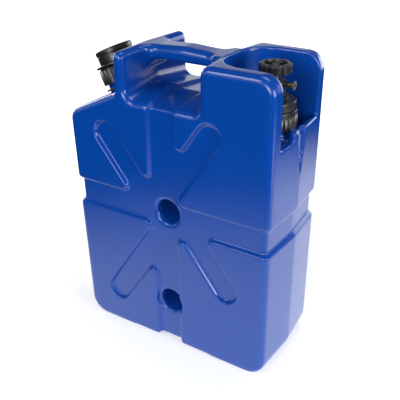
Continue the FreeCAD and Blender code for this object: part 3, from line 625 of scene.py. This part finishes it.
def tank():
    """The blown tank, with the soft edges that its mould gives it."""
    mesh = NODES["tank_shell"].data.copy()
    shape = bmesh.new()
    shape.from_mesh(mesh)
    bmesh.ops.remove_doubles(shape, verts=shape.verts, dist=SAME_POINT)
    shape.to_mesh(mesh)
    shape.free()
    skin = remeshed(joined([mesh] + hole_fillers()), TANK_VOXEL, TANK_ROUNDS)
    points = points_of(skin)
    blocked = in_bore(points, PUMP, PUMP_BORE, PUMP_BORE_FOOT)
    blocked |= in_bore(points, TAP, FILTER_BORE, FILTER_BORE_FOOT)
    furthest_right = int(np.argmax(points[:, 0]))
    outside = reached(skin, furthest_right, blocked)
    points = soften_relief(points / MM, outside) * MM
    skin.vertices.foreach_set("co", points.ravel())
    skin = thinned(skin, ~outside & ~blocked, TANK_SHARE)
    new_piece("tank", skin, "tank", "blue_plastic", "tank_shell")


# Pump and tap: lists of (radius, height, rounding) corners, in millimetres

KNOB_SKIRT = 3.0
KNOB_RIM = 0.8
CAP_PLATE = 3.0
CAP_LUG = 5.0
LOCK_RING_BAND = 7.0
GLAND_HEIGHT = 7.0


def ribs(count, depth, low, high, beyond, sharpness):
    """Wave that leaves upright ribs on the outside of a turned piece, between two levels."""
    def wave(angle, radius, height):
        if radius < beyond or not low <= height <= high:
            return radius
        swing = abs(math.cos(angle * count / 2)) ** sharpness
        return radius - depth * (1 - swing)
    return wave


def pump_pieces():
    """The black pieces of the pump that show over the shoulder."""
    low, high, wide = reach_of("pump_handle", PUMP)
    foot = wide - KNOB_RIM
    inside = foot - KNOB_SKIRT
    knob = turned([
        (5.0, low, 0), (10.0, low, 0.8), (10.0, high - 6, 2.0), (inside, high - 6, 2.0),
        (inside, low, 0.4), (foot, low, 0.8), (foot, high - 8.4, 0.5), (foot - 0.7, high - 8.2, 0.3),
        (foot - 0.7, high - 7.4, 0.3), (wide, high - 7.0, 0.6), (wide, high, 1.8),
        (wide - 5, high, 1.5), (wide - 6.5, high - 0.9, 1.0), (9.5, high - 0.9, 0.8), (8.6, high, 0.6),
        (7.0, high, 0.3), (7.0, high - 3.0, 0), (5.0, high - 3.0, 0),
    ], 128, PUMP)
    new_piece("pump_knob", knob, "pump_plunger", "black_plastic", "pump_handle")

    low, high, wide = reach_of("pump_head", PUMP)
    plate = high - CAP_PLATE
    cap = turned([
        (5.05, low, 0), (17.5, low, 0), (17.5, low + 3, 0), (26.5, low + 3, 0), (26.5, plate, 0.6),
        (35.0, plate, 0.9), (35.0, high, 0.9), (30.5, high, 0.4), (29.5, high - 0.8, 0.4),
        (22.0, high - 0.8, 0.4), (21.0, high, 0.4), (9.0, high, 0.3), (9.0, high - 2.6, 0),
        (5.05, high - 2.6, 0),
    ], 128, PUMP)
    lug_place = PUMP @ Matrix.Translation((-(wide - CAP_LUG) * MM, 0, 0))
    lug = turned([
        (0, plate, 0), (CAP_LUG, plate, 0.9), (CAP_LUG, high, 0.9), (0, high, 0),
    ], 32, lug_place)
    new_piece("guide_cap", joined([cap, lug]), "pump_unit", "black_plastic", "pump_head")

    low, high, wide = reach_of("pump_collar_nut", PUMP)
    grip = ribs(16, depth=2.0, low=low - 1, high=high - 2.2, beyond=30.0, sharpness=0.55)
    nut = turned([
        (28.5, low, 0.4), (wide, low, 0.8), (wide, high - 2.6, 0), (wide - 1.6, high - 2.0, 0.5),
        (wide - 3.2, high, 1.2), (26.8, high, 0.5), (26.8, high - 5.5, 0), (28.5, high - 5.5, 0),
    ], 256, PUMP, grip)
    new_piece("collar_nut", nut, "pump_collar", "black_plastic", "pump_collar_nut")

    low, high, wide = reach_of("pump_neck_ring", PUMP)
    ring = turned([(28.0, low, 0.3), (wide, low, 0.9), (wide, high, 0.9), (28.0, high, 0.3)], 96, PUMP)
    new_piece("neck_ring", ring, "tank", "black_rubber", "pump_neck_ring")


def tap_pieces():
    """The pieces of the tap that show, from the lock ring up to the gland."""
    low, high, wide = reach_of("tap_lock_ring", TAP)
    band = high - LOCK_RING_BAND
    grip = ribs(24, depth=1.2, low=low - 1, high=band - 0.2, beyond=30.0, sharpness=0.45)
    ring = turned([
        (28.5, low, 0.3), (wide, low, 0.7), (wide, band - 0.3, 0), (wide - 1.0, band + 0.5, 0.3),
        (wide - 1.0, high, 1.4), (24.7, high, 0.4), (24.7, high - 3.7, 0), (28.5, high - 3.7, 0),
    ], 288, TAP, grip)
    new_piece("lock_ring", ring, "lock_ring", "black_plastic", "tap_lock_ring")

    low, high, wide = reach_of("tap_housing", TAP)
    drum = turned([
        (24.4, low, 0.3), (wide, low, 0.6), (wide, high, 1.6), (wide - 5.0, high, 0.6),
        (wide - 5.6, high - 0.8, 0.4), (20.4, high - 0.8, 0.4), (19.8, high, 0.2), (4.5, high, 0),
        (4.5, low + 4, 0), (24.4, low + 4, 0),
    ], 128, TAP)
    new_piece("tap_drum", drum, "filter_unit", "black_plastic", "tap_housing")

    low, high, wide = reach_of("valve_body", TAP)
    spout_low, spout_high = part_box("outlet_nozzle")
    level = (spout_low.z + spout_high.z) / 2 / MM
    body = turned([
        (4.5, low, 0), (19.5, low, 0.4), (19.5, low + 3.0, 0.9), (15.0, low + 6.0, 1.5),
        (15.0, high, 1.6), (11.0, high, 0.3), (11.0, low + 5.5, 0), (6.5, low + 5.5, 0),
        (6.5, low + 7.3, 0), (4.5, low + 7.3, 0),
    ], 128, TAP)
    across = TAP @ Matrix.Translation((0, 0, level * MM)) @ Matrix.Rotation(math.pi / 2, 4, "Y")
    boss = turned([(3.4, 12.0, 0), (4.3, 12.0, 0), (4.3, 16.5, 0.5), (3.4, 16.5, 0.2)], 48, across)
    new_piece("tap_body", joined([body, boss]), "filter_unit", "black_plastic", "valve_body")

    reach = (spout_high.x - TAP.translation.x) / MM
    outlet = turned([
        (2.3, 11.2, 0), (3.4, 11.2, 0), (3.4, reach - 5.0, 0.2), (3.0, reach - 4.6, 0.2),
        (3.0, reach - 3.6, 0.2), (3.4, reach - 3.2, 0.2), (3.4, reach, 0.3), (2.3, reach, 0.3),
    ], 64, across)
    new_piece("outlet", outlet, "filter_unit", "brass", "outlet_nozzle")
    rim = turned([
        (3.4, reach - 2.0, 0.2), (6.0, reach - 2.0, 0.6), (6.0, reach, 0.6), (3.4, reach, 0.2),
    ], 64, across)
    new_piece("outlet_ring", rim, "filter_unit", "steel", "nozzle_end_ring")

    low, high, wide = reach_of("bonnet_nut", TAP)
    gland = high - GLAND_HEIGHT
    bonnet = turned([
        (4.05, low, 0), (11.0, low, 0), (11.0, low + 3, 0), (wide, low + 3, 0.4), (wide, gland, 0.7),
        (6.4, gland, 0.5), (6.4, high, 0.7), (5.4, high, 0.2), (5.4, high - 2, 0), (4.05, high - 2, 0),
    ], 96, TAP)
    new_piece("bonnet", bonnet, "filter_unit", "black_plastic", "bonnet_nut")


# Handwheel, in millimetres but for the voxels

WHEEL_VOXEL = 0.00035
WHEEL_ROUNDS = 2
WHEEL_WEB = 3.5
WHEEL_WEB_DEPTH = 1.6
WHEEL_SEAT = 8.0
WHEEL_RIM_INNER = 16.5
SPOKES = 4
SPOKE_HALF_WIDTH = 2.3
SPOKE_INNER = 5.5
LOBE_PITCH = 2 * math.pi / 8
LOBE_BEYOND = 17.0
SCALLOP = 5.0
SCALLOP_OFFSET = 2.75


def handwheel():
    """Lobed wheel with a dished top, four spokes and a hub, blended as one moulding."""
    low, high, wide = reach_of("handwheel", TAP)
    web = low + WHEEL_WEB
    seat = low + WHEEL_SEAT
    scallop_centre = wide + SCALLOP_OFFSET

    def lobes(angle, radius, height):
        if radius < LOBE_BEYOND:
            return radius
        off = (angle + LOBE_PITCH / 2) % LOBE_PITCH - LOBE_PITCH / 2
        beside = scallop_centre * math.sin(off)
        if abs(beside) >= SCALLOP:
            return radius
        cut = scallop_centre * math.cos(off) - math.sqrt(SCALLOP ** 2 - beside ** 2)
        return min(radius, cut - (wide - radius))

    rim = turned([
        (15.5, low, 0.5), (wide, low, 1.0), (wide, high - 1.0, 1.6), (18.6, high, 1.0),
        (15.6, high, 0.6), (15.0, seat, 0.5),
    ], 256, TAP, lobes)
    hub = turned([(4.0, low, 0.3), (7.0, low, 0.5), (7.0, seat, 0.8), (4.0, seat, 0.2)], 96, TAP)
    top = web + WHEEL_WEB_DEPTH
    plate = turned([
        (5.0, web, 0), (WHEEL_RIM_INNER, web, 0), (WHEEL_RIM_INNER, top, 0), (5.0, top, 0),
    ], 96, TAP)
    start = (SPOKE_INNER, -SPOKE_HALF_WIDTH, web)
    end = (WHEEL_RIM_INNER, SPOKE_HALF_WIDTH, seat - 0.3)
    spokes = []
    for i in range(SPOKES):
        turn = Matrix.Rotation(math.radians(360 / SPOKES * i), 4, "Z")
        spokes.append(block(start, end, TAP @ turn))
    wheel = remeshed(joined([rim, hub, plate] + spokes), WHEEL_VOXEL, WHEEL_ROUNDS)
    new_piece("wheel", wheel, "tap_wheel", "black_plastic", "handwheel")


# Filter held inside, in millimetres

SLEEVE_BORE = 20.5
SLEEVE_WAVES = 9
SLEEVE_WAVE_DEPTH = 0.25
SLEEVE_TWIST = 9
SLEEVE_ROLL = 13
SLEEVE_LEVELS = 24
SLEEVE_END_ROUND = 1.4
STRAND = 0.85
STRAND_SIDES = 6
STRAND_STEPS = 14
STRAND_SWAY = 0.35
STRAND_TURN = 5
STRAND_SPREAD = 7
STRAND_INSET = 1
POTTING_HEIGHT = 6


def foam_sleeve():
    """Foam sleeve round the cage: rounded ends and a soft, slightly wavy outside."""
    low, high, wide = reach_of("prefilter_sleeve", TAP)

    def wavy(angle, radius, height):
        if radius < SLEEVE_BORE + 1.0:
            return radius
        round_about = math.sin(SLEEVE_WAVES * angle + height / SLEEVE_TWIST)
        return radius - SLEEVE_WAVE_DEPTH * (1 + round_about * math.sin(height / SLEEVE_ROLL))

    levels = [low + (high - low) * i / SLEEVE_LEVELS for i in range(1, SLEEVE_LEVELS)]
    sleeve = turned([
        (SLEEVE_BORE, low, 0.6), (wide, low, SLEEVE_END_ROUND),
        *((wide, level, 0) for level in levels),
        (wide, high, SLEEVE_END_ROUND), (SLEEVE_BORE, high, 0.6),
    ], 128, TAP, wavy)
    piece = new_piece("foam_sleeve", sleeve, "filter_unit", "foam", "prefilter_sleeve")


def strand(x, y, low, high, turn):
    """One fibre with a slight sway, closed at both ends.

    Known fault: the points are scaled to metres here and once more by finished(), so a strand comes
    out a thousand times too small, at the foot of TAP. Without the MM below it would be right.
    """
    shape = bmesh.new()
    rings = []
    for step in range(STRAND_STEPS + 1):
        share = step / STRAND_STEPS
        sway = STRAND_SWAY * math.sin(math.pi * share)
        middle_x = x + sway * math.cos(turn + STRAND_TURN * share)
        middle_y = y + sway * math.sin(turn + STRAND_TURN * share)
        level = low + (high - low) * share
        ring = []
        for side in range(STRAND_SIDES):
            angle = 2 * math.pi * side / STRAND_SIDES
            across = (middle_x + STRAND * math.cos(angle)) * MM
            along = (middle_y + STRAND * math.sin(angle)) * MM
            ring.append(shape.verts.new((across, along, level * MM)))
        rings.append(ring)
    for lower, upper in zip(rings, rings[1:]):
        for side in range(STRAND_SIDES):
            after = (side + 1) % STRAND_SIDES
            shape.faces.new((lower[side], lower[after], upper[after], upper[side]))
    shape.faces.new(rings[0][::-1])
    shape.faces.new(rings[-1])
    return finished(shape, TAP)


def fibre_strands():
    """Two potted ends of the bundle of hollow fibres, and its strands, which come out too small."""
    low, high, wide = reach_of("fibre_bundle", TAP)
    inner = reach_of("core_tube", TAP)[2]
    pitch = 2 * (STRAND + STRAND_SWAY)
    start, end = low + STRAND_INSET, high - STRAND_INSET
    meshes = []
    ring = inner + pitch / 2
    while ring + pitch / 2 <= wide:
        count = int(2 * math.pi * ring / pitch)
        for i in range(count):
            angle = 2 * math.pi * i / count
            turn = STRAND_SPREAD * i + ring
            meshes.append(strand(ring * math.cos(angle), ring * math.sin(angle), start, end, turn))
        ring += pitch
    for foot in (low, high - POTTING_HEIGHT):
        top = foot + POTTING_HEIGHT
        meshes.append(turned([
            (inner, foot, 0.2), (wide, foot, 0.6), (wide, top, 0.6), (inner, top, 0.2),
        ], 64, TAP))
    new_piece("fibre_strands", joined(meshes), "filter_unit", "fibres", "fibre_bundle")


# Floor and light, in metres and watts

FLOOR_SIZE = 6.0
FLOOR_COLOUR = 0.86
FLOOR_LIFT = 0.46
FLOOR_LIFT_FAR = 1.0
FLOOR_NEAR = 0.3
FLOOR_FAR = 1.3

# Patches of the floor with a painted pool of light: they glow to reflections and are pale to bounced light; beyond
# them the floor is painted dark to both
POOL_PLACE = (0.10, 0.16, 0.0)
POOL_INNER = 0.38
POOL_OUTER = 0.90
POOL_BESIDE = (0.95, 0.12, 0.0)
POOL_BESIDE_INNER = 0.2
POOL_BESIDE_OUTER = 0.4
POOL_LIFT = 0.85
LAMPS = [
    # name, place, target, size, power
    ("front", (0.45, -2.0, 0.75), (0, 0, 0.25), 0.9, 20.0),
    ("right", (1.8, -0.35, 0.6), (0.1, 0, 0.2), 0.8, 21.0),
    ("key", (-0.55, -1.25, 1.15), (0, 0, 0.25), 0.6, 8.0),
    ("top", (0.2, 0.5, 1.9), (0, 0, 0.3), 0.9, 8.0),
    ("back", (0.7, 2.1, 0.4), (0, 0, 0.2), 1.4, 24.0),
    ("left", (-2.0, 0.5, 0.4), (0, 0, 0.2), 1.2, 16.0),
]
WORLD_LEVEL = 0.06
BACKDROP_TOP = 0.15
CEILING = 0.45
CEILING_LEVEL = 0.04
WHITE = (1, 1, 1, 1)


class Shade:
    """Short names for the arithmetic nodes of the floor and the world."""

    def __init__(self, tree):
        self.nodes, self.links = tree.nodes, tree.links
        path = self.nodes.new("ShaderNodeLightPath")
        self.camera = path.outputs["Is Camera Ray"]
        glossy, through = path.outputs["Is Glossy Ray"], path.outputs["Is Transmission Ray"]
        self.mirrored = self.maths("MAXIMUM", glossy, through)
        self.place = self.nodes.new("ShaderNodeTexCoord")

    def maths(self, operation, first, second):
        """Result of an operation on two sockets or numbers."""
        node = self.nodes.new("ShaderNodeMath")
        node.operation = operation
        for socket, value in zip(node.inputs, (first, second)):
            if isinstance(value, bpy.types.NodeSocket):
                self.links.new(value, socket)
            else:
                socket.default_value = value
        return node.outputs[0]

    def distance(self, place):
        """Distance from a place, in the object's own space."""
        node = self.nodes.new("ShaderNodeVectorMath")
        node.operation = "DISTANCE"
        self.links.new(self.place.outputs["Object"], node.inputs[0])
        node.inputs[1].default_value = place
        return node.outputs["Value"]

    def ramp(self, value, low, high, new_low, new_high):
        """Smooth change from one level to another as a value goes from low to high."""
        node = self.nodes.new("ShaderNodeMapRange")
        node.interpolation_type = "SMOOTHSTEP"
        self.links.new(value, node.inputs["Value"])
        levels = (low, high, new_low, new_high)
        for name, level in zip(("From Min", "From Max", "To Min", "To Max"), levels):
            node.inputs[name].default_value = level
        return node.outputs["Result"]


def add_floor():
    """Pale floor that keeps the shadow, with a painted pool of light round the object that glows to reflections;
    beyond it the floor is painted dark to reflections and bounce.
    """
    shape = bmesh.new()
    bmesh.ops.create_grid(shape, x_segments=1, y_segments=1, size=FLOOR_SIZE)
    mesh = bpy.data.meshes.new("floor")
    shape.to_mesh(mesh)
    shape.free()
    floor = placed("floor", mesh)
    material = bpy.data.materials.new("floor")
    material.use_nodes = True
    floor.data.materials.append(material)
    shader = material.node_tree.nodes["Principled BSDF"]
    shader.inputs["Roughness"].default_value = 1.0
    shader.inputs["Specular IOR Level"].default_value = 0.0
    shader.inputs["Emission Color"].default_value = WHITE
    shade = Shade(material.node_tree)
    painted_light_pool = shade.ramp(shade.distance(POOL_PLACE), POOL_INNER, POOL_OUTER, 1.0, 0.0)
    beside = shade.ramp(shade.distance(POOL_BESIDE), POOL_BESIDE_INNER, POOL_BESIDE_OUTER, 1.0, 0.0)
    painted_light_pool = shade.maths("MAXIMUM", painted_light_pool, beside)
    # Base colour is pale where the camera looks and inside the pool; beyond the pool, reflections and bounced
    # light see a painted dark floor.
    pale = shade.maths("MULTIPLY", shade.maths("MAXIMUM", painted_light_pool, shade.camera), FLOOR_COLOUR)
    shade.links.new(pale, shader.inputs["Base Color"])
    lift = shade.ramp(shade.distance((0, 0, 0)), FLOOR_NEAR, FLOOR_FAR, FLOOR_LIFT, FLOOR_LIFT_FAR)
    seen = shade.maths("MULTIPLY", shade.camera, lift)
    # The pool glows to reflections only: painted light where there is no lamp.
    mirrored = shade.maths("MULTIPLY", shade.mirrored, shade.maths("MULTIPLY", painted_light_pool, POOL_LIFT))
    shade.links.new(shade.maths("ADD", seen, mirrored), shader.inputs["Emission Strength"])


def add_light():
    """Soft studio lamps and a pale world that is white where it is seen."""
    for name, place, target, size, power in LAMPS:
        data = bpy.data.lights.new(name, "AREA")
        data.size = size
        data.energy = power
        lamp = placed(name, data)
        lamp.location = place
        lamp.rotation_euler = (Vector(target) - Vector(place)).to_track_quat("-Z", "Y").to_euler()
    world = bpy.data.worlds.new("world")
    world.use_nodes = True
    bpy.context.scene.world = world
    background = world.node_tree.nodes["Background"]
    background.inputs["Color"].default_value = WHITE
    shade = Shade(world.node_tree)
    height = shade.nodes.new("ShaderNodeSeparateXYZ")
    shade.links.new(shade.place.outputs["Generated"], height.inputs["Vector"])
    backdrop = shade.ramp(height.outputs["Z"], BACKDROP_TOP, CEILING, 1.0, CEILING_LEVEL)
    seen = shade.maths("MAXIMUM", shade.camera, shade.maths("MULTIPLY", shade.mirrored, backdrop))
    shade.links.new(shade.maths("MAXIMUM", seen, WORLD_LEVEL), background.inputs["Strength"])


# CAD nodes

SMOOTH_ANGLE = math.radians(28)
EDGE_ROUND = 0.00025
EDGE_SEGMENTS = 2


def smooth_nodes():
    """Node group that shades faces smooth and keeps edges sharp beyond a set angle."""
    group = bpy.data.node_groups.new("smooth_by_angle", "GeometryNodeTree")
    group.interface.new_socket("Geometry", in_out="INPUT", socket_type="NodeSocketGeometry")
    group.interface.new_socket("Geometry", in_out="OUTPUT", socket_type="NodeSocketGeometry")
    start = group.nodes.new("NodeGroupInput")
    end = group.nodes.new("NodeGroupOutput")
    faces = group.nodes.new("GeometryNodeSetShadeSmooth")
    edges = group.nodes.new("GeometryNodeSetShadeSmooth")
    edges.domain = "EDGE"
    edges.inputs["Shade Smooth"].default_value = False
    angle = group.nodes.new("GeometryNodeInputMeshEdgeAngle")
    sharp = group.nodes.new("FunctionNodeCompare")
    sharp.operation = "GREATER_THAN"
    sharp.inputs[1].default_value = SMOOTH_ANGLE
    group.links.new(start.outputs[0], faces.inputs["Geometry"])
    group.links.new(faces.outputs[0], edges.inputs["Geometry"])
    group.links.new(angle.outputs["Unsigned Angle"], sharp.inputs[0])
    group.links.new(sharp.outputs[0], edges.inputs["Selection"])
    group.links.new(edges.outputs[0], end.inputs[0])
    return group


def dress_nodes():
    """Gives every CAD node its material, and all but the tank round edges and smooth curves."""
    slots = {part["node"]: part["material_slot"] for part in frame["record"]["subparts"]}
    smoothing = smooth_nodes()
    for name, node in NODES.items():
        dress(node, slots[name])
        if name == "tank_shell":
            continue
        weld = node.modifiers.new("weld", "WELD")
        weld.merge_threshold = SAME_POINT
        bevel = node.modifiers.new("round_edges", "BEVEL")
        bevel.width = EDGE_ROUND
        bevel.segments = EDGE_SEGMENTS
        bevel.limit_method = "ANGLE"
        bevel.angle_limit = SMOOTH_ANGLE
        node.modifiers.new("smooth", "NODES").node_group = smoothing


add_camera()
dress_nodes()
tank()
pump_pieces()
tap_pieces()
handwheel()
foam_sleeve()
fibre_strands()
add_floor()
add_light()
bpy.context.scene.view_settings.view_transform = "Standard"
